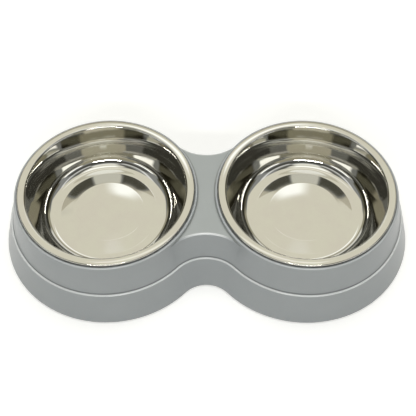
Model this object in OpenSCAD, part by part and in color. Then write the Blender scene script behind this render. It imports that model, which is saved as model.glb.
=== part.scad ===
// Double pet bowl: two removable steel bowls hang by their rims in a one-piece moulded stand.
// The stand is two round lobes joined by a waist, and it sits on six rubber feet.
// The origin is on the floor, midway between the bowls. +X runs from bowl to bowl, +Y to the back.

/* [Bowls] */
// Outer radius of a bowl over its rolled rim
rim_r = 70; // [60:0.5:80]
// Gap between the rims of the two bowls
rim_gap = 18.4; // [12:0.2:60]
// Width of the flat rim with its bead, from the mouth out
rim_w = 4.8; // [4.2:0.1:7]
// Depth from the top of the rim to the lowest part of the floor
bowl_depth = 32.5; // [24:0.5:44]
// Distance that the wall draws in from the mouth to the flat floor
wall_run = 21.7; // [17:0.1:25]
// How much more the wall leans at the lip than at the floor, in degrees
wall_flare = 5; // [3:0.5:12]
// Radius of the curve from the floor into the wall
heel_r = 11; // [8:0.5:12]
// Radius of the curve from the wall out to the flat rim, on its upper side
lip_r = 2.2; // [1.6:0.1:3]
// Radius of the rolled bead round the edge of the rim
bead_r = 1; // [0.9:0.05:1.3]
// Thickness of the steel sheet
sheet_t = 0.7; // [0.4:0.05:0.8]
// Width of the flat floor, from the slope round the raised disc out to the wall
floor_w = 4; // [3:0.5:9]
// Width of the slope that goes round the raised disc
slope_w = 11; // [4:0.5:12]
// Width of the gentle fall from the flat middle of the disc out to its edge
fall_w = 12.5; // [6:0.5:18]
// Height of the edge of the raised disc over the floor
disc_h = 2; // [0.5:0.05:3]
// Height of the middle of the disc over its own edge
crown_h = 0.65; // [0.2:0.05:1.5]

/* [Stand] */
// Height of the land that carries the rims, from the floor
stand_h = 59; // [52:0.5:70]
// Width of the land outside the rim of a bowl
reveal_w = 2.2; // [1:0.1:5]
// Distance that the upper band spreads from the land down to the ledge
upper_run = 5.3; // [2:0.1:8]
// Width of the ledge between the two bands
ledge_w = 1.7; // [1:0.1:4]
// Distance that the lower band spreads from the ledge down to the floor
lower_run = 7.2; // [3:0.1:12]
// Height of the ledge from the floor
ledge_h = 30.6; // [22:0.2:38]
// Depth of the deck between the bowls below the land
deck_drop = 2.7; // [1.5:0.1:4]
// Width of the waist across the stand, at the floor
waist_w = 104.6; // [92:0.2:120]
// Thickness of the moulded walls
wall_t = 2.2; // [1.6:0.1:2.8]

/* [Well] */
// Gap between the bead of a bowl and the land under it
seat_gap = 0.3; // [0.2:0.05:0.6]
// Gap round the mouth of a bowl inside the sleeve of its well
sleeve_gap = 1.2; // [0.8:0.1:2]
// Thickness of the sleeve that turns down inside each well
sleeve_t = 1.8; // [1.2:0.1:2]
// Length of the sleeve below the land
sleeve_h = 8; // [6:0.5:12]
// Number of gussets between each sleeve and the band
gusset_count = 12; // [6:2:18]
// Thickness of the gussets and of the ribs under the deck
rib_t = 1.6; // [1.2:0.1:2.4]
// Depth of the long rib under the deck
keel_h = 24; // [12:1:32]
// Distance from the middle to each short rib under the deck
cross_rib_y = 20; // [14:1:24]

/* [Feet] */
// Distance from the edge of the stand in to the middle of a foot
foot_inset = 12; // [11.5:0.1:15]
// Radius of the pad of a foot
pad_r = 7; // [5:0.1:7.4]
// Thickness of the pad of a foot
pad_t = 2; // [1.6:0.1:3]
// Distance that the pads stand out below the stand
foot_proud = 1; // [0.6:0.1:1.4]
// Radius of the stem of a foot
stem_r = 2.9; // [2:0.1:3.5]
// Length of the stem of a foot
stem_h = 6; // [4:0.5:8]
// Gap round the stem in its socket
stem_gap = 0.15; // [0.1:0.05:0.3]
// Radius of the boss that holds a foot
boss_r = 7.8; // [7.6:0.1:9]
// Plastic left over the blind end of a socket
boss_roof = 3; // [2:0.1:5]
// Thickness of the web between a boss and the wall
web_t = 4; // [2:0.5:6]
// Angle of the pair of feet next to the waist, from the line between the bowls
foot_angle = 60; // [54:1:75]

/* [Edges] */
// Radius of the rounded bottom edge of the stand
foot_edge_r = 0.8; // [0.4:0.1:1.2]
// Radius of the rounded outer edge of the ledge
ledge_edge_r = 1; // [0.4:0.1:1.2]
// Radius of the rounded top edge of the collars
land_edge_r = 1.1; // [0.4:0.1:1.4]
// Width of the bevelled edge of the deck
deck_bevel = 0.9; // [0.5:0.1:1.4]
// Bevel on the pad and the stem of a foot
foot_bevel = 0.5; // [0.2:0.1:0.7]

/* [Hidden] */
$fn = 128;
// How far a cut runs past what it cuts
over = 1;
// How deep the notch runs into the lobes, so that their walls cross and don't just touch
blend_lap = 0.03;
// Straight pieces in each rounded corner of an outline, and in the wall of a bowl
arc_steps = 5;
wall_steps = 6;

// Distance between the axes of the two bowls
bowl_pitch = 2 * rim_r + rim_gap;
// Radii of a bowl, from its mouth in to its raised disc
mouth_r = rim_r - rim_w;
floor_r = mouth_r - wall_run;
slope_r = floor_r - floor_w;
disc_r = slope_r - slope_w;
flat_r = disc_r - fall_w;

// Outer radius of the land, which shows as a thin ring round the rim of a bowl
land_r = rim_r + reveal_w;
// Radius of a lobe where it meets the floor
lobe_r = land_r + upper_run + ledge_w + lower_run;
// The waist is cut by a round notch that is tangent to both lobes at every height
lobe_to_waist = lobe_r - waist_w / 2;
notch_y = (pow(bowl_pitch / 2, 2) - pow(lobe_to_waist, 2)) / (2 * lobe_to_waist);
notch_r = notch_y - waist_w / 2;
deck_h = stand_h - deck_drop;
edge_z = foot_proud;

rim_z = stand_h + seat_gap + 2 * bead_r;
floor_z = rim_z - bowl_depth;
disc_z = floor_z + disc_h;
heel_c = [floor_r, floor_z + heel_r];
lip_c = [mouth_r, rim_z - lip_r];
// A straight wall that is tangent to the heel and to the lip would lean out by this angle
heel_to_lip = lip_c - heel_c;
wall_lean = acos((heel_r + lip_r) / norm(heel_to_lip)) - atan2(heel_to_lip[1], heel_to_lip[0]);
// The real wall flares: it is steeper at the heel and leans more at the lip
heel_flare_share = 0.35;
heel_lean = wall_lean - wall_flare * heel_flare_share;
lip_lean = wall_lean + wall_flare * (1 - heel_flare_share);
wall_low = heel_c + heel_r * [cos(heel_lean), -sin(heel_lean)];
wall_high = lip_c - lip_r * [cos(lip_lean), -sin(lip_lean)];
// Where the tangents at the two ends of the wall meet
wall_rise = cross(wall_high - wall_low, [sin(lip_lean), cos(lip_lean)]) / sin(heel_lean - lip_lean);
wall_bend = wall_low + wall_rise * [sin(heel_lean), cos(heel_lean)];

well_r = mouth_r + sleeve_gap;
socket_r = stem_r + stem_gap;
socket_top = pad_t + stem_h + over;
boss_top = socket_top + boss_roof;
foot_circle_r = lobe_r - foot_inset;

function unit(v) = v / norm(v);
function mix(a, b, t) = (1 - t) * a + t * b;

// Points on an arc, from one angle to another
function arc(centre, r, from, to) =
    [for (i = [0 : arc_steps])
        let (a = from + (to - from) * i / arc_steps)
        centre + r * [cos(a), sin(a)]];

// The corner b between the points a and c, rounded with a tangent arc
function rounded(a, b, c, r) =
    let (
        u = unit(a - b),
        v = unit(c - b),
        half = acos(u * v) / 2,
        centre = b + r / sin(half) * unit(u + v),
        from_point = b + r / tan(half) * u - centre,
        to_point = b + r / tan(half) * v - centre,
        from = atan2(from_point[1], from_point[0]),
        turn = atan2(to_point[1], to_point[0]) - from
    )
    arc(centre, r, from, from + (turn + 540) % 360 - 180);

// How far each band has drawn in from the edge of the stand, at height z
function lower_inset(z) = lower_run * (z - edge_z) / (ledge_h - edge_z);
function upper_inset(z) = lower_run + ledge_w + upper_run * (z - ledge_h) / (stand_h - ledge_h);

// The outside of both bands as [inset, height], from the bottom edge up to the foot of the upper band
function bands() =
    let (
        foot = [lower_inset(edge_z), edge_z],
        ledge_out = [lower_inset(ledge_h), ledge_h],
        ledge_in = [upper_inset(ledge_h), ledge_h]
    )
    concat(
        rounded([lobe_r, edge_z], foot, ledge_out, foot_edge_r),
        rounded(foot, ledge_out, ledge_in, ledge_edge_r),
        [ledge_in]
    );

// The outside round a lobe ends in the rounded edge of its collar
function lobe_skin() =
    concat(
        bands(),
        rounded(last(bands()), [upper_inset(stand_h), stand_h], [lobe_r, stand_h], land_edge_r)
    );

// The outside along the waist ends in the bevelled edge of the deck
function waist_skin() =
    concat(
        bands(),
        [
            [upper_inset(deck_h - deck_bevel), deck_h - deck_bevel],
            [upper_inset(deck_h) + deck_bevel, deck_h]
        ]
    );

// The same outside, moved into the wall by depth, with plain corners and a run below the edge
function lining(depth, top) =
    [
        [lower_inset(edge_z - over) + depth, edge_z - over],
        [lower_inset(ledge_h - depth) + depth, ledge_h - depth],
        [upper_inset(ledge_h - depth) + depth, ledge_h - depth],
        [upper_inset(top) + depth, top]
    ];

function first(points) = points[0];
function last(points) = points[len(points) - 1];

// The section of a lobe from its axis out to an outline
function lobe_section(line) =
    concat(
        [[0, first(line)[1]]],
        [for (p = line) [lobe_r - p[0], p[1]]],
        [[0, last(line)[1]]]
    );

// The section of the notch that cuts the waist, run past both ends of the outline
function notch_section(line) =
    let (low = first(line), high = last(line), r = notch_r + blend_lap)
    concat(
        [[0, low[1] - over], [r + low[0], low[1] - over]],
        [for (p = line) [r + p[0], p[1]]],
        [[r + high[0], high[1] + over], [0, high[1] + over]]
    );

// A solid with the stand's plan, whose walls follow an outline round the lobes and one along the waist
module peanut(lobe_line, waist_line) {
    low = first(waist_line)[1];
    high = last(waist_line)[1];
    for (side = [-1, 1])
        translate([side * bowl_pitch / 2, 0, 0])
            rotate_extrude()
                polygon(lobe_section(lobe_line));
    difference() {
        translate([0, 0, low])
            linear_extrude(high - low)
                polygon([[-bowl_pitch / 2, 0], [0, -notch_y], [bowl_pitch / 2, 0], [0, notch_y]]);
        for (side = [-1, 1])
            translate([0, side * notch_y, 0])
                rotate_extrude()
                    polygon(notch_section(waist_line));
    }
}

module at_each_bowl() {
    for (side = [-1, 1])
        translate([side * bowl_pitch / 2, 0, 0])
            children();
}

// Small upright plates that tie each sleeve to the band round it
module gussets() {
    at_each_bowl()
        for (i = [0 : gusset_count - 1])
            rotate([0, 0, (i + 0.5) * 360 / gusset_count])
                translate([well_r + sleeve_t / 2, -rib_t / 2, stand_h - sleeve_h])
                    cube([lobe_r - well_r, rib_t, sleeve_h - wall_t / 2]);
}

// One long rib and two short ones stiffen the deck between the wells. They run past the top, and the
// shell's own lining cuts them off inside the deck and the land.
module deck_ribs() {
    difference() {
        union() {
            translate([-rib_t / 2, -notch_y, deck_h - keel_h])
                cube([rib_t, 2 * notch_y, stand_h]);
            for (side = [-1, 1])
                translate([-bowl_pitch / 2, side * cross_rib_y - rib_t / 2, deck_h - sleeve_h])
                    cube([bowl_pitch, rib_t, stand_h]);
        }
        at_each_bowl()
            translate([0, 0, -over])
                cylinder(r = well_r + sleeve_t / 2, h = stand_h + 2 * over);
    }
}

// Where each foot goes, as [x, y, angle of its web]
function foot_place(i) =
    let (
        side = i < 3 ? -1 : 1,
        k = i % 3,
        a = side < 0 ? [180, foot_angle, -foot_angle][k] : [0, 180 - foot_angle, foot_angle - 180][k]
    )
    [side * bowl_pitch / 2 + foot_circle_r * cos(a), foot_circle_r * sin(a), a];

module foot_bosses() {
    for (i = [0 : 5])
        let (p = foot_place(i))
        translate([p[0], p[1], pad_t])
            rotate([0, 0, p[2]]) {
                cylinder(r = boss_r, h = boss_top - pad_t);
                translate([0, -web_t / 2, 0])
                    cube([foot_inset, web_t, boss_top - pad_t]);
            }
}

module base_shell() {
    color([0.60, 0.62, 0.62])
    difference() {
        union() {
            difference() {
                peanut(lobe_skin(), waist_skin());
                peanut(lining(wall_t, stand_h - wall_t), lining(wall_t, deck_h - wall_t));
            }
            at_each_bowl()
                translate([0, 0, stand_h - sleeve_h])
                    cylinder(r = well_r + sleeve_t, h = sleeve_h - wall_t / 2);
            intersection() {
                peanut(lining(wall_t / 2, stand_h - wall_t / 2), lining(wall_t / 2, deck_h - wall_t / 2));
                union() {
                    gussets();
                    deck_ribs();
                    foot_bosses();
                }
            }
        }
        at_each_bowl()
            translate([0, 0, boss_top + over])
                cylinder(r = well_r, h = stand_h);
        for (i = [0 : 5])
            translate([foot_place(i)[0], foot_place(i)[1], 0])
                cylinder(r = socket_r, h = socket_top);
    }
}

// Points on the flared wall of a bowl, moved through the sheet by depth
function wall_line(depth) =
    [for (i = [1 : wall_steps - 1])
        let (
            t = i / wall_steps,
            before = mix(wall_low, wall_bend, t),
            after = mix(wall_bend, wall_high, t),
            along = unit(after - before)
        )
        mix(before, after, t) + depth * [along[1], -along[0]]];

// The section of a bowl on one side of its sheet: its upper side at depth 0, its lower side at sheet_t
function bowl_side(depth) =
    concat(
        [
            [0, disc_z + crown_h - depth],
            [flat_r, disc_z + crown_h - depth],
            [disc_r, disc_z - depth],
            [slope_r, floor_z - depth]
        ],
        arc(heel_c, heel_r + depth, -90, -heel_lean),
        wall_line(depth),
        arc(lip_c, lip_r - depth, 180 - lip_lean, 90)
    );

module bowl() {
    bead_c = [rim_r - bead_r, rim_z - bead_r];
    // The bead is closed where the lower side of the rim runs into it
    closing = asin((bead_r - sheet_t) / bead_r);
    lower = bowl_side(sheet_t);
    color([0.80, 0.79, 0.75])
    rotate_extrude()
        polygon(concat(
            bowl_side(0),
            arc(bead_c, bead_r, 90, -60),
            arc(bead_c, bead_r, -60, -180 - closing),
            [for (i = [len(lower) - 1 : -1 : 0]) lower[i]]
        ));
}

module bowl_left() {
    translate([-bowl_pitch / 2, 0, 0]) bowl();
}

module bowl_right() {
    translate([bowl_pitch / 2, 0, 0]) bowl();
}

// A rubber foot: a flat pad with a plain stem that plugs into a socket of the stand
module foot(i) {
    color([0.22, 0.23, 0.24])
    translate([foot_place(i)[0], foot_place(i)[1], 0])
        rotate_extrude()
            polygon([
                [0, 0],
                [pad_r - foot_bevel, 0],
                [pad_r, foot_bevel],
                [pad_r, pad_t],
                [stem_r, pad_t],
                [stem_r, pad_t + stem_h - foot_bevel],
                [stem_r - foot_bevel, pad_t + stem_h],
                [0, pad_t + stem_h]
            ]);
}

base_shell();
bowl_left();
bowl_right();
foot(0);  // foot_1
foot(1);  // foot_2
foot(2);  // foot_3
foot(3);  // foot_4
foot(4);  // foot_5
foot(5);  // foot_6
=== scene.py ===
# %% [markdown]
# # A double pet bowl
# Two polished steel bowls hang by their rims in a one-piece plastic stand. The frame comes from the CAD
# model: every solid is already in its place, in metres. This lesson dresses it. The stand keeps its CAD
# solid and gets a moulded plastic finish. The bowls and the rubber feet are made again as finer surfaces.

# %% Load the frame
import math

import bpy
import numpy as np
from mathutils import Matrix, Vector


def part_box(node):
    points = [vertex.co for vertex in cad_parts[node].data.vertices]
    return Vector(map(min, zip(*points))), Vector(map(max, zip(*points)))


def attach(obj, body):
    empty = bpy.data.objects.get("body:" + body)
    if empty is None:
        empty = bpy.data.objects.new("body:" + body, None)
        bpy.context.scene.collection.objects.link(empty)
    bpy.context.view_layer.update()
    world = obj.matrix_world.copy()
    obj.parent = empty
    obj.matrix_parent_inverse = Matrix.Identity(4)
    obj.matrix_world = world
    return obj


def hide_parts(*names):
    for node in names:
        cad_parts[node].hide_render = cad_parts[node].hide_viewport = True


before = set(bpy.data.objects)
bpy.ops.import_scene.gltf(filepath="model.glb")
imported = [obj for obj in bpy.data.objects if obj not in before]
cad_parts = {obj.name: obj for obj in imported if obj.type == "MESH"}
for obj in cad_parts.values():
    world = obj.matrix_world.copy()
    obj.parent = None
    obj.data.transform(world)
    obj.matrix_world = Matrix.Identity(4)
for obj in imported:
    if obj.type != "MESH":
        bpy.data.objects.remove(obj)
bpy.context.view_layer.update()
scene = bpy.context.scene
MM = 0.001
print("nodes:", sorted(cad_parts))

# %% [markdown]
# ## The sizes that the looks need
# The materials follow the shape: polish rings run round the axis of a bowl, and grime gathers in the crease
# over the ledge. So the main sizes of the object are written here once, in millimetres, as the drawing of
# the CAD model has them. R is a radius and Z a height over the floor. The places of the bowls and the feet
# are read from the frame.

# %% Name the sizes
BOWL_X = sum(c.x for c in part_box("bowl_right")) / 2 / MM
RIM_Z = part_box("bowl_right")[1].z / MM
RIM_R = 70.0
MOUTH_R = 65.2
LAND_R = 72.2
LOBE_R = 86.4
NOTCH_Y = 74.93
NOTCH_R = 22.63
LEDGE_Z = 30.6
LEDGE_INSET = 8.9
LAND_Z = 59.0
DECK_Z = 56.3
print(f"bowl axes at x = +-{BOWL_X:.1f} mm, rims at z = {RIM_Z:.1f} mm")

# %% [markdown]
# ## The camera
# The photograph looks down on the bowls from the front. The camera's place, tilt and lens were worked out
# from the round rims, which show as ellipses. A camera could be aimed with a Track To constraint, but a
# matrix keeps the small turn and roll exactly as measured.

# %% Place the camera
CAMERA_AT = (6.582, -443.968, 680.575)
TILT = math.radians(55.47)
TURN = 0.012  # radians, as ROLL is
ROLL = -0.009
LENS_IN_PIXELS = 969.2
FRAME_PIXELS = 416
SENSOR = 36.0

camera_data = bpy.data.cameras.new("camera")
camera_data.sensor_width = SENSOR
camera_data.lens = LENS_IN_PIXELS / FRAME_PIXELS * SENSOR
camera = bpy.data.objects.new("camera", camera_data)
scene.collection.objects.link(camera)
ahead = Vector((0, math.cos(TILT), -math.sin(TILT)))
below = Vector((0, -math.sin(TILT), -math.cos(TILT)))
right = Vector((1, 0, 0))
side_axis = right * math.cos(ROLL) - below * math.sin(ROLL)
up_axis = -right * math.sin(ROLL) - below * math.cos(ROLL)
pose = Matrix((side_axis, up_axis, -ahead)).transposed().to_4x4()
pose = Matrix.Rotation(TURN, 4, "Z") @ pose
pose.translation = Vector(CAMERA_AT) * MM
camera.matrix_world = pose
scene.camera = camera
scene.view_settings.view_transform = "Standard"
print(f"camera looks down by {math.degrees(TILT):.1f} degrees with a {camera_data.lens:.0f} mm lens")

# %% [markdown]
# ## Arithmetic on sockets
# A shader is a formula, but a tree of Math nodes is hard to read. One small class wraps a socket, so that
# `1 - mask * 0.3` adds the nodes by itself. Every other node comes from one method, which takes the node's
# type, its settings, and the values or links of its sockets.

# %% Wrap a socket
class Wire:
    """An output socket that can be added, multiplied and compared like a number."""

    def __init__(self, tree, socket):
        self.tree = tree
        self.socket = socket

    def maths(self, operation, *others):
        """A Math node with this socket first."""
        return self.tree.node("ShaderNodeMath", {"operation": operation}, [self, *others])

    def reversed_maths(self, operation, other):
        """A Math node with this socket second, as in 1 - mask."""
        return self.tree.node("ShaderNodeMath", {"operation": operation}, [other, self])

    def __add__(self, other):
        return self.maths("ADD", other)

    __radd__ = __add__

    def __sub__(self, other):
        return self.maths("SUBTRACT", other)

    def __rsub__(self, other):
        return self.reversed_maths("SUBTRACT", other)

    def __mul__(self, other):
        return self.maths("MULTIPLY", other)

    __rmul__ = __mul__

    def __truediv__(self, other):
        return self.maths("DIVIDE", other)

    def __rtruediv__(self, other):
        return self.reversed_maths("DIVIDE", other)

    def __abs__(self):
        return self.maths("ABSOLUTE")

    def __lt__(self, other):
        return self.maths("LESS_THAN", other)

    def larger(self, other):
        """The larger of the two, which joins two masks."""
        return self.maths("MAXIMUM", other)

    def length_with(self, other):
        """The distance sqrt(a*a + b*b)."""
        return (self * self + other * other).maths("SQRT")

    def rise(self, low, high):
        """0 below low, 1 above high, and an S-shaped ramp between them."""
        span = {"interpolation_type": "SMOOTHSTEP"}
        return self.tree.node("ShaderNodeMapRange", span, {0: self, 1: low, 2: high})

    def near(self, centre, half_width, soft):
        """1 within half_width of centre, and falling to 0 over soft on both sides."""
        return 1 - abs(self - centre).rise(half_width, half_width + soft)


print("sockets can be added, multiplied and compared")

# %% Wrap a node tree
class Tree:
    """The node tree of a material or a world."""

    def __init__(self, owner):
        owner.use_nodes = True
        self.nodes = owner.node_tree.nodes
        self.links = owner.node_tree.links

    def node(self, kind, settings=None, sockets=None, output=0):
        """Add a node of this kind. The settings are its attributes, and the sockets a list in their order,
        or a dict by name or number. A socket takes a value or the link of a Wire."""
        made = self.nodes.new(kind)
        for name, value in (settings or {}).items():
            setattr(made, name, value)
        pairs = sockets.items() if isinstance(sockets, dict) else enumerate(sockets or [])
        for key, value in pairs:
            self.feed(made.inputs[key], value)
        return Wire(self, made.outputs[output])

    def feed(self, socket, value):
        """Link a Wire to a socket, or set its value."""
        if isinstance(value, Wire):
            self.links.new(value.socket, socket)
        else:
            socket.default_value = value

    def blend(self, factor, first, second):
        """A colour that goes from first to second as the factor goes from 0 to 1."""
        return self.node("ShaderNodeMix", {"data_type": "RGBA"}, {0: factor, 6: first, 7: second}, 2)

    def split(self, vector):
        """The three components of a vector."""
        parts = self.node("ShaderNodeSeparateXYZ", {}, [vector])
        outputs = parts.socket.node.outputs
        return [Wire(self, outputs[i]) for i in range(3)]

    def join(self, x, y, z):
        """A vector of three components."""
        return self.node("ShaderNodeCombineXYZ", {}, [x, y, z])

    def noise(self, vector, scale, detail, roughness):
        """A cloudy pattern that varies around 0.5, finer as the scale goes up."""
        sockets = {"Vector": vector, "Scale": scale, "Detail": detail, "Roughness": roughness}
        return self.node("ShaderNodeTexNoise", {}, sockets)


def colour(red, green, blue):
    """An opaque colour, as sockets take it."""
    return (red, green, blue, 1.0)


print("nodes can be added to a tree")

# %% [markdown]
# ## The floor
# The object stands on a pale sweep. In a studio that is a wide sheet of paper, and it is lit so well that it
# photographs as white while it still takes the object's shadow. A large disc does the same. It gets a little
# light of its own for the camera and for mirrors only, so none of it reaches the object.

# %% Make the floor
FLOOR_R = 9.0
FLOOR_SIDES = 96
FLOOR_GLOW = 0.34
PAPER_WHITE = colour(0.8, 0.8, 0.79)
GLOW_WHITE = colour(1.0, 1.0, 0.985)

turn = np.linspace(0, 2 * np.pi, FLOOR_SIDES, endpoint=False)
floor_mesh = bpy.data.meshes.new("floor")
edge = np.stack([FLOOR_R * np.cos(turn), FLOOR_R * np.sin(turn), np.zeros_like(turn)], axis=1)
floor_mesh.from_pydata(edge.tolist(), [], [list(range(len(turn)))])
floor = bpy.data.objects.new("floor", floor_mesh)
scene.collection.objects.link(floor)

paper = bpy.data.materials.new("paper")
tree = Tree(paper)
shader = tree.nodes["Principled BSDF"]
shader.inputs["Base Color"].default_value = PAPER_WHITE
shader.inputs["Roughness"].default_value = 0.9
shader.inputs["Emission Color"].default_value = GLOW_WHITE
rays = tree.node("ShaderNodeLightPath").socket.node.outputs
seen = Wire(tree, rays["Is Camera Ray"])
for kind in ("Is Glossy Ray", "Is Transmission Ray"):
    seen = seen.larger(Wire(tree, rays[kind]))
tree.feed(shader.inputs["Emission Strength"], seen * FLOOR_GLOW)
floor_mesh.materials.append(paper)
print(f"floor of {FLOOR_R} m radius")

# %% [markdown]
# ## The room that the steel reflects
# Polished steel has no colour of its own: it shows the room. So the room is written as a function of
# direction, as a photographer would sketch it: how far round from the back wall, and how high. A cream wall
# stands behind, over a tan strip and low lamps. The ceiling is grey, with a white panel overhead that has
# dark edges, and there are white windows on both sides. Low down the room is nearly black, apart from a brown
# floor edge in front. That gives the steel its dark streaks. A slow noise bends the edges a little, because
# no room is drawn with a ruler.

# %% List the lights of the room
BLACK = colour(0.0244, 0.0222, 0.0133)
OLIVE = colour(0.15, 0.145, 0.105)
GREY = colour(0.333, 0.344, 0.344)
PALE = colour(1.05, 1.05, 1.03)
PANEL = colour(0.98, 0.965, 0.862)
WHITE = colour(1.55, 1.58, 1.55)
CREAM = colour(0.921, 0.894, 0.766)
SOFT_LIGHTS = [
    # round from the back, height, half width, half height, softness, all in degrees, and the colour
    (44, 33.5, 30, 1.0, 6.0, OLIVE),
    (84, 34.5, 6, 2.0, 4.0, OLIVE),
    (129, 51.0, 21, 6.0, 5.0, colour(0.1, 0.102, 0.095)),
    (180, 22.0, 40, 8.0, 6.0, colour(0.4, 0.377, 0.278)),
    (180, 52.0, 34, 6.0, 8.0, colour(0.1, 0.1, 0.09)),
    (180, 36.0, 10, 2.0, 5.0, colour(0.688, 0.688, 0.644)),
    (118, 25.0, 13, 1.2, 3.0, colour(0.777, 0.766, 0.666)),
    (122, 32.5, 14, 1.0, 3.0, colour(2.2, 2.22, 2.22)),
    (0, 61.5, 36, 21.0, 5.0, CREAM),
    (0, 60.0, 54, 12.0, 5.0, CREAM),
    (0, 66.5, 18, 1.0, 2.5, colour(1.25, 1.24, 1.14)),
    (42, 74.0, 6, 2.0, 4.0, CREAM),
    (24, 33.5, 21, 3.0, 6.0, colour(0.41, 0.39, 0.295)),
    (12, 24.0, 14, 4.5, 5.0, colour(0.944, 0.944, 0.888)),
    (0, 48.5, 6, 1.5, 3.0, WHITE),
    (78, 62.0, 20, 0.6, 4.0, colour(1.05, 1.06, 1.07)),
    (124, 62.0, 18, 1.0, 5.0, colour(0.833, 0.844, 0.833)),
    (180, 74.5, 32, 4.0, 5.0, colour(1.12, 1.13, 1.08)),
    (102, 73.5, 34, 1.4, 3.0, colour(0.133, 0.133, 0.111)),
]
print(len(SOFT_LIGHTS), "soft lights and patches in the room")

# %% Write the room in nodes
DEGREES = 180 / math.pi
WOBBLE_ROUND, WOBBLE_HIGH = 9, 4  # how far the noise bends the edges, in degrees
CEILING_FROM = 22
SIDE_WALL = (62, 22, 20)  # bearing, half width and softness, in degrees
SIDE_WALL_HIGH = 17
PANEL_FROM, PANEL_FULL = 76, 79
SPOT_X = (0, 0.12, 0.05)  # middle, half width and softness, as slopes x / z and y / z
SPOT_Y = (0.08, 0.08, 0.04)
HORIZON_SOFT = 0.04

world = bpy.data.worlds.new("studio")
scene.world = world
tree = Tree(world)
direction = tree.node("ShaderNodeTexCoord", {}, {}, "Generated")
x, y, z = tree.split(direction)
wobble = tree.noise(direction, 3.5, 2, 0.5) - 0.5
round_from_back = abs(x).maths("ARCTAN2", y) * DEGREES + wobble * WOBBLE_ROUND
height = z.maths("ARCSINE") * DEGREES + wobble * WOBBLE_HIGH
# the dark reaches higher over the side walls
ceiling_edge = CEILING_FROM + round_from_back.near(*SIDE_WALL) * SIDE_WALL_HIGH
room = tree.blend((height - ceiling_edge).rise(-4, 6), BLACK, GREY)
for bearing, high, half_width, half_height, soft, light in SOFT_LIGHTS:
    reach = round_from_back.near(bearing, half_width, soft * 1.6)
    room = tree.blend(reach * height.near(high, half_height, soft), room, light)
room = tree.blend(height.rise(PANEL_FROM, PANEL_FULL), room, PANEL)
# a small white lamp in the middle of the panel
above = z.larger(0.02)
spot = (x / above).near(*SPOT_X) * (y / above).near(*SPOT_Y)
room = tree.blend(spot, room, WHITE)
room = tree.blend(1 - z.rise(0.0, HORIZON_SOFT), room, PALE)
background = tree.nodes["Background"]
tree.feed(background.inputs["Color"], room)
background.inputs["Strength"].default_value = 1.0
print("the room is a formula of", len(tree.nodes), "nodes")

# %% [markdown]
# ## The lamps
# The room alone would leave the plastic flat. A narrow strip lamp in front gives the rounded edges a thin
# highlight and puts fine bright lines into the steel. A wide soft box overhead gives the even light. A
# photographer would flag it off so that it doesn't show in the steel, and so it is hidden from mirrors.

# %% Hang the lamps
def hang_lamp(name, place, width, height, power, in_mirrors):
    """A flat lamp at place, in metres, turned to the middle of the object."""
    data = bpy.data.lights.new(name, "AREA")
    data.shape = "RECTANGLE"
    data.size = width
    data.size_y = height
    data.energy = power
    lamp = bpy.data.objects.new(name, data)
    lamp.location = place
    lamp.rotation_euler = Vector(place).to_track_quat("Z", "Y").to_euler()
    lamp.visible_glossy = in_mirrors
    scene.collection.objects.link(lamp)


hang_lamp("edge_lamp", (-0.05, -1.35, 1.2), width=1.15, height=0.05, power=9.0, in_mirrors=True)
hang_lamp("overhead_box", (0.0, 0.35, 2.2), width=1.6, height=1.6, power=18.0, in_mirrors=False)
print("two lamps")

# %% [markdown]
# ## The plastic of the stand
# The stand is injection moulded in one piece, in a mid grey with a fine satin grain from the mould. It could
# be painted by hand, but a formula in object coordinates follows the shape. `inset` says how far a point
# lies inside the bottom edge, measured from the lobe or from the notch that cuts the waist, so the ledge is
# found all the way round. The crease above the ledge and the foot of the collars are darkened with painted
# shade, and the seat under each rim with a near-black painted shadow for the gap under the bead. The deck
# between the bowls is painted a shade paler, as painted light on its top. The rounded edges get painted
# highlights, and the bottom edge is scuffed.

# %% Find the places on the stand
LEDGE_RIM_INSET = 7.9
DECK_RIM_INSET = 14.1

plastic = bpy.data.materials.new("satin_grey_plastic")
tree = Tree(plastic)
shader = tree.nodes["Principled BSDF"]
place = tree.node("ShaderNodeTexCoord", {}, {}, "Object")
x, y, z = [part / MM for part in tree.split(place)]
from_axis = (abs(x) - BOWL_X).length_with(y)
from_notch = x.length_with(abs(y) - NOTCH_Y)
in_waist = (abs(x) / BOWL_X + abs(y) / NOTCH_Y) < 1
inset = (LOBE_R - from_axis) * (1 - in_waist) + (from_notch - NOTCH_R) * in_waist

clouds = tree.noise(place, 34, 3, 0.6)
mottle = tree.noise(place, 900, 2, 0.5)
grain = tree.noise(place, 5200, 2, 0.6)

# painted shade: the crease above the ledge and the foot of the collars are darkened in the colour
crease = inset.near(LEDGE_INSET, 0.25, 0.5) * z.near(LEDGE_Z + 0.4, 0.5, 0.5)
collar_foot = from_axis.near(LAND_R + 0.5, 0.3, 0.9) * z.near(DECK_Z, 0.3, 0.6) * in_waist
# painted shadow: the seat under each rim is darkened nearly to black, for the shadow gap under the bead
seat = (1 - from_axis.rise(RIM_R + 0.5, RIM_R + 1.2)) * z.rise(LAND_Z - 2, LAND_Z - 0.5)
# the painted shade of the crease and of the collars' foot, joined
crease_shade = (crease * 0.6).larger(collar_foot)
seat_shadow = seat * (0.62 + tree.noise(place, 260, 3, 0.6).rise(0.35, 0.65) * 0.26)
# painted highlights: the rounded edges of the ledge, the land and the deck are lightened in the colour
ledge_rim = inset.near(LEDGE_RIM_INSET, 0.5, 0.4) * z.near(LEDGE_Z, 0.9, 0.4)
land_rim = from_axis.near(LAND_R - 0.5, 0.3, 0.4) * z.near(LAND_Z - 0.3, 0.5, 0.4)
deck_rim = inset.near(DECK_RIM_INSET, 0.7, 0.4) * z.near(DECK_Z - 0.2, 0.5, 0.4) * in_waist
deck_rim = deck_rim * from_axis.rise(LAND_R + 0.5, LAND_R + 6)
painted_highlight = ledge_rim.larger(deck_rim * 0.7).larger(land_rim * 0.3)
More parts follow.
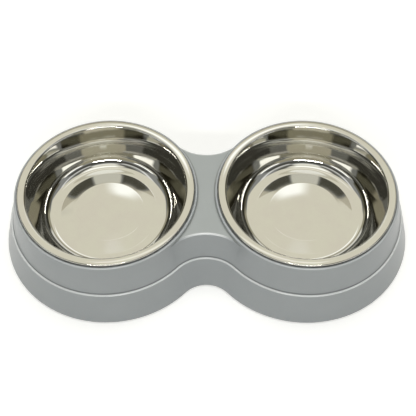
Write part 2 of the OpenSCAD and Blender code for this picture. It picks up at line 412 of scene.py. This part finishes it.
# painted light: the top of the deck between the bowls is made a shade paler
deck = z.rise(DECK_Z - 0.6, DECK_Z) * in_waist * from_axis.rise(LAND_R - 0.2, LAND_R + 0.6)
scuffs = (1 - z.rise(1.5, 5.0)) * tree.noise(place, 420, 4, 0.7).rise(0.5, 0.72)
print("the places are found with", len(tree.nodes), "nodes")

# %% [markdown]
# The colours are laid one over another, each where its mask says so: the moulded grey first, then specks,
# the painted shade in the creases, the painted light on the deck and the painted shadow in the seats, and
# last the painted highlights on the edges and the scuffs. The roughness follows the same masks, and the
# mould's grain goes into the bump.

# %% Colour the plastic
MOULDED = colour(0.316, 0.338, 0.352)
MOULDED_PALER = colour(0.332, 0.354, 0.367)
SPECK = colour(0.45, 0.46, 0.45)
# painted shade for the creases
CREASE_SHADE = colour(0.09, 0.095, 0.09)
# painted light for the top of the deck
DECK_LIGHT = colour(0.40, 0.425, 0.405)
# painted shadow for the seats under the rims
SEAT_SHADOW = colour(0.045, 0.046, 0.043)
# painted highlight for the rounded edges
EDGE_HIGHLIGHT = colour(0.80, 0.82, 0.82)
SCUFFED = colour(0.47, 0.475, 0.46)

base = tree.blend(clouds.rise(0.25, 0.75), MOULDED, MOULDED_PALER)
base = tree.blend((mottle - 0.35) * 0.07, base, SPECK)
# the next four layers are painted shade, painted light on the deck, painted shadow and painted highlights
base = tree.blend(crease_shade * 0.7, base, CREASE_SHADE)
base = tree.blend(deck * 0.5, base, DECK_LIGHT)
base = tree.blend(seat_shadow, base, SEAT_SHADOW)
base = tree.blend(painted_highlight * 0.82, base, EDGE_HIGHLIGHT)
base = tree.blend(scuffs * 0.5, base, SCUFFED)
tree.feed(shader.inputs["Base Color"], base)
rough = 0.29 + (mottle - 0.5) * 0.05 + clouds.rise(0.3, 0.8) * 0.03 + crease_shade * 0.2 - painted_highlight * 0.1
tree.feed(shader.inputs["Roughness"], rough + scuffs * 0.15)
relief = grain + mottle * 0.6
bump = tree.node("ShaderNodeBump", {}, {"Strength": 0.25, "Distance": 0.00006, "Height": relief})
tree.feed(shader.inputs["Normal"], bump)
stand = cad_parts["base_shell"]
stand.data.materials.clear()
stand.data.materials.append(plastic)
print("stand plastic is on", stand.name)

# %% [markdown]
# ## Surfaces of revolution
# A pressed bowl and a moulded foot are both round about an axis. Blender's Spin tool or a Screw modifier
# would turn a profile, but here the surface is worked out as arrays: radius and height come from the
# profile, and the angle is the second parameter. Each end of the profile on the axis is one pole vertex.

# %% Draw arcs and rounded corners
def arc(centre, radius, start, end, steps):
    """Points centre + radius * (cos a, sin a) as the angle a, in degrees, goes from start to end."""
    a = np.radians(np.linspace(start, end, steps + 1))
    return np.array(centre) + radius * np.stack([np.cos(a), np.sin(a)], axis=1)


def rounded(points, radii, steps):
    """A broken line with its corners rounded: each corner b between a and c gets the arc that is tangent to
    both sides, with its centre on the bisector at radius / sin(half the angle at b)."""
    points = np.array(points, float)
    line = [points[:1]]
    for a, b, c, radius in zip(points, points[1:], points[2:], radii):
        u = (a - b) / np.linalg.norm(a - b)
        v = (c - b) / np.linalg.norm(c - b)
        half = math.acos(float(u @ v)) / 2
        centre = b + radius / math.sin(half) * (u + v) / np.linalg.norm(u + v)
        reach = radius / math.tan(half)
        first, last = b + reach * u - centre, b + reach * v - centre
        start = math.degrees(math.atan2(first[1], first[0]))
        sweep = math.degrees(math.atan2(last[1], last[0])) - start
        line.append(arc(centre, radius, start, start + (sweep + 540) % 360 - 180, steps))
    line.append(points[-1:])
    return np.concatenate(line)


def densified(line, longest):
    """The same line with extra points, so that no straight piece is longer than the given length."""
    pieces = [line[:1]]
    for a, b in zip(line[:-1], line[1:]):
        count = max(1, math.ceil(np.linalg.norm(b - a) / longest))
        t = np.arange(1, count + 1)[:, None] / count
        pieces.append(a + (b - a) * t)
    return np.concatenate(pieces)


print("lines can be drawn, rounded and refined")

# %% Turn a profile into a mesh
def revolved(name, profile, centre_x, centre_y, segments):
    """A closed surface of revolution. The profile gives (radius, height) in millimetres, from a pole on the
    axis round to another pole on the axis, with the outside on its left. A vertex is at
    (cx + r cos a, cy + r sin a, z), and each of the two ends is a fan of triangles round one vertex."""
    ring = profile[1:-1]
    a = np.linspace(0, 2 * np.pi, segments, endpoint=False)
    r, height = ring[:, 0][:, None], ring[:, 1][:, None]
    grid = np.stack([centre_x + r * np.cos(a), centre_y + r * np.sin(a), height + 0 * a], axis=-1)
    poles = [[centre_x, centre_y, profile[0, 1]], [centre_x, centre_y, profile[-1, 1]]]
    co = np.concatenate([grid.reshape(-1, 3), np.array(poles)]) * MM
    i, j = np.meshgrid(np.arange(len(ring) - 1), np.arange(segments), indexing="ij")
    k = (j + 1) % segments
    quads = np.stack([i * segments + j, (i + 1) * segments + j, (i + 1) * segments + k, i * segments + k], -1)
    around = np.arange(segments)
    after = (around + 1) % segments
    top, bottom = len(co) - 2, len(co) - 1
    last_ring = (len(ring) - 1) * segments
    fan_in = np.stack([np.full_like(around, top), around, after], axis=1)
    fan_out = np.stack([np.full_like(around, bottom), last_ring + after, last_ring + around], axis=1)
    mesh = bpy.data.meshes.new(name)
    faces = quads.reshape(-1, 4).tolist() + fan_in.tolist() + fan_out.tolist()
    mesh.from_pydata(co.tolist(), [], faces)
    mesh.polygons.foreach_set("use_smooth", np.ones(len(mesh.polygons), bool))
    mesh.update()
    piece = bpy.data.objects.new(name, mesh)
    scene.collection.objects.link(piece)
    return piece


print("profiles can be turned")

# %% [markdown]
# ## The shape of a bowl
# A steel bowl is pressed from one sheet. From its axis out it has a disc that is flat in the middle and
# falls gently to its edge, a wider and steeper slope down to a narrow flat ring, a round heel, a wall that
# flares a little, and a lip that turns out into the crowned rim and its rolled bead. Every corner is round,
# because sheet metal can't bend sharply. Mirror metal shows each of these as its own ring of reflections, so
# the radii matter more than anything else.

# %% Name the bowl's sizes
SHEET = 0.7
FLOOR_Z = RIM_Z - 32.5
DISC = [(0, FLOOR_Z + 2.65), (16, FLOOR_Z + 2.65), (28.5, FLOOR_Z + 2), (39.5, FLOOR_Z), (43.5, FLOOR_Z)]
DISC_RADII = [250, 5, 3]
HEEL_R = 11.0
LIP_R = 2.2
HEEL_C = (DISC[-1][0], FLOOR_Z + HEEL_R)
LIP_C = (MOUTH_R, RIM_Z - LIP_R)
heel_to_lip = (LIP_C[0] - HEEL_C[0], LIP_C[1] - HEEL_C[1])
straight_lean = math.acos((HEEL_R + LIP_R) / math.hypot(*heel_to_lip)) - math.atan2(*heel_to_lip[::-1])
FLARE = 5.0
HEEL_SHARE = 0.35
HEEL_LEAN = math.degrees(straight_lean) - FLARE * HEEL_SHARE
LIP_LEAN = HEEL_LEAN + FLARE
CROWN_R = 30.0
BEAD_R = 0.9
CROWN_END = math.degrees(math.asin((RIM_R - BEAD_R - MOUTH_R) / (CROWN_R - BEAD_R)))
print(f"the wall leans by {HEEL_LEAN:.1f} degrees at the heel and {LIP_LEAN:.1f} at the lip")

# %% Draw the bowl's profile
CORNER_STEPS, HEEL_STEPS, WALL_STEPS, LIP_STEPS, CROWN_STEPS, BEAD_STEPS = 8, 18, 26, 14, 8, 30
UPPER_LONGEST, LOWER_LONGEST = 1.0, 1.6


def flared_wall(start, start_lean, end, end_lean, steps):
    """A quadratic curve from start to end whose tangents lean out from the upright by the two angles: the
    middle control point is where the two tangents meet."""
    first = np.array([math.sin(math.radians(start_lean)), math.cos(math.radians(start_lean))])
    last = np.array([math.sin(math.radians(end_lean)), math.cos(math.radians(end_lean))])
    reach = np.linalg.solve(np.stack([first, -last], axis=1), end - start)
    bend = start + reach[0] * first
    t = np.linspace(0, 1, steps + 1)[1:-1, None]
    return (1 - t) ** 2 * start + 2 * t * (1 - t) * bend + t ** 2 * end


def sheet_side(depth):
    """One side of the sheet from the axis to the rim: the upper side at depth 0, and the lower side at the
    sheet's thickness. Outside radii grow by the depth and inside radii shrink by it."""
    disc = [(r, height - depth) for r, height in DISC]
    low = rounded(disc, DISC_RADII, CORNER_STEPS)
    heel = arc(HEEL_C, HEEL_R + depth, -90, -HEEL_LEAN, HEEL_STEPS)
    lip = arc(LIP_C, LIP_R - depth, 180 - LIP_LEAN, 90, LIP_STEPS)
    wall = flared_wall(heel[-1], HEEL_LEAN, lip[0], LIP_LEAN, WALL_STEPS)
    crown = arc((MOUTH_R, RIM_Z - CROWN_R), CROWN_R - depth, 90, 90 - CROWN_END, CROWN_STEPS)
    return np.concatenate([low, heel[1:], wall, lip, crown[1:]])


rim_end = sheet_side(0.0)[-1]
turn_down = math.radians(90 - CROWN_END)
bead_c = rim_end - BEAD_R * np.array([math.cos(turn_down), math.sin(turn_down)])
closing = math.degrees(math.asin((BEAD_R - SHEET) / BEAD_R))
bead = arc(bead_c, BEAD_R, 90 - CROWN_END, -180 - closing - CROWN_END, BEAD_STEPS)[1:]
upper = densified(sheet_side(0.0), UPPER_LONGEST)
lower = densified(sheet_side(SHEET), LOWER_LONGEST)[::-1]
bowl_profile = np.concatenate([upper, bead, lower])
print(f"bowl profile: {len(bowl_profile)} points, {np.ptp(bowl_profile[:, 1]):.1f} mm deep")

# %% [markdown]
# ## Polished steel
# Stainless steel is polished on a spinning buff, which leaves faint rings round the axis. A sheet that was
# drawn deep is never quite even, so a long soft ripple bends the reflections. The floor is a little duller
# than the wall, because a brush scrubs it, and the outer edge of the rim is rubbed where hands lift the bowl.
# The rings are a noise of the radius and the height alone, so they close on themselves.

# %% Make the bowl's steel
BRIGHT_STEEL = colour(0.662, 0.655, 0.602)
HAZY_STEEL = colour(0.65, 0.629, 0.592)
RUBBED_STEEL = colour(0.62, 0.61, 0.58)

steel = bpy.data.materials.new("polished_steel")
tree = Tree(steel)
shader = tree.nodes["Principled BSDF"]
shader.inputs["Metallic"].default_value = 1.0
place = tree.node("ShaderNodeTexCoord", {}, {}, "Object")
x, y, z = [part / MM for part in tree.split(place)]
from_axis = (abs(x) - BOWL_X).length_with(y)
rings = tree.noise(tree.join(from_axis, z, 0.0), 2.4, 4, 0.7)
ripple = tree.noise(place, 46, 1, 0.4)
haze = tree.noise(place, 60, 4, 0.6)
on_floor = 1 - from_axis.rise(38, 44)
tint = tree.blend(haze.rise(0.3, 0.75), BRIGHT_STEEL, HAZY_STEEL)
rim_rub = from_axis.near(RIM_R, 0.3, 0.5) * tree.noise(place, 700, 3, 0.7).rise(0.45, 0.7)
tree.feed(shader.inputs["Base Color"], tree.blend(rim_rub * 0.3, tint, RUBBED_STEEL))
rough = 0.03 + on_floor * 0.03 + haze.rise(0.45, 0.8) * 0.03 + rings.rise(0.5, 0.8) * 0.02 + rim_rub * 0.1
tree.feed(shader.inputs["Roughness"], rough)
relief = ripple * 0.02 + rings * 0.0006
bump = tree.node("ShaderNodeBump", {}, {"Strength": 1.0, "Distance": 0.001, "Height": relief * 0.6})
tree.feed(shader.inputs["Normal"], bump)
print("steel is mixed")

# %% Hang the bowls
BOWL_SEGMENTS = 256
for side, sign in (("left", -1), ("right", 1)):
    bowl = revolved(f"{side}_steel_bowl", bowl_profile, sign * BOWL_X, 0.0, BOWL_SEGMENTS)
    bowl.data.materials.append(steel)
    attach(bowl, f"bowl_{side}")
    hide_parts(f"bowl_{side}")
    print(bowl.name, "has", len(bowl.data.polygons), "faces")

# %% [markdown]
# ## The rubber feet
# Six soft feet keep the stand from sliding. Each is a pad with a stem that plugs into a blind socket. A real
# pad has rings moulded in its sole for grip, so the profile gets three grooves. The rubber is dull and
# nearly black, a little dusty where it meets the floor.

# %% Draw the foot's profile
PAD_R, PAD_T, STEM_R, STEM_TOP = 7.0, 2.0, 2.9, 8.0
GROOVES = (2.0, 3.8, 5.5)
GROOVE_W, GROOVE_DEPTH = 0.7, 0.45
DIMPLE_R, DIMPLE_EDGE_R = 0.9, 1.2
SOLE_CORNER_R = 0.1
FOOT_CORNER_STEPS, FOOT_LONGEST = 4, 1.2

sole = [(0.0, GROOVE_DEPTH), (DIMPLE_R, GROOVE_DEPTH), (DIMPLE_EDGE_R, 0.0)]
for r in GROOVES:
    sole += [(r - GROOVE_W / 2, 0.0), (r - GROOVE_W / 4, GROOVE_DEPTH)]
    sole += [(r + GROOVE_W / 4, GROOVE_DEPTH), (r + GROOVE_W / 2, 0.0)]
outline = sole + [(PAD_R, 0.0), (PAD_R, PAD_T), (STEM_R, PAD_T), (STEM_R, STEM_TOP), (0.0, STEM_TOP)]
corner_radii = [SOLE_CORNER_R] * (len(sole) - 1) + [0.5, 0.12, 0.2, 0.5]
foot_profile = densified(rounded(outline, corner_radii, FOOT_CORNER_STEPS), FOOT_LONGEST)[::-1]
print("foot profile:", len(foot_profile), "points")

# %% Mix the rubber
RUBBER_DARK = colour(0.052, 0.052, 0.056)
RUBBER_SPECK = colour(0.07, 0.07, 0.074)
DUST = colour(0.2, 0.19, 0.175)

rubber = bpy.data.materials.new("foot_rubber")
tree = Tree(rubber)
shader = tree.nodes["Principled BSDF"]
place = tree.node("ShaderNodeTexCoord", {}, {}, "Object")
height = tree.split(place)[2] / MM
speckle = tree.noise(place, 1500, 3, 0.6)
dust = (1 - height.rise(0.3, 1.6)) * tree.noise(place, 300, 4, 0.7).rise(0.4, 0.7)
black = tree.blend(speckle.rise(0.3, 0.7), RUBBER_DARK, RUBBER_SPECK)
tree.feed(shader.inputs["Base Color"], tree.blend(dust * 0.5, black, DUST))
tree.feed(shader.inputs["Roughness"], 0.62 + speckle.rise(0.3, 0.7) * 0.2)
bump = tree.node("ShaderNodeBump", {}, {"Strength": 0.3, "Distance": 0.0001, "Height": speckle})
tree.feed(shader.inputs["Normal"], bump)
print("rubber is mixed")

# %% Fit the feet
FEET = 6
FOOT_SEGMENTS = 64

for number in range(1, FEET + 1):
    low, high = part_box(f"foot_{number}")
    middle = (low + high) / 2 / MM
    foot = revolved(f"rubber_foot_{number}", foot_profile, middle.x, middle.y, FOOT_SEGMENTS)
    foot.data.materials.append(rubber)
    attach(foot, "base")
    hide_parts(f"foot_{number}")
print(FEET, "feet are in their sockets")
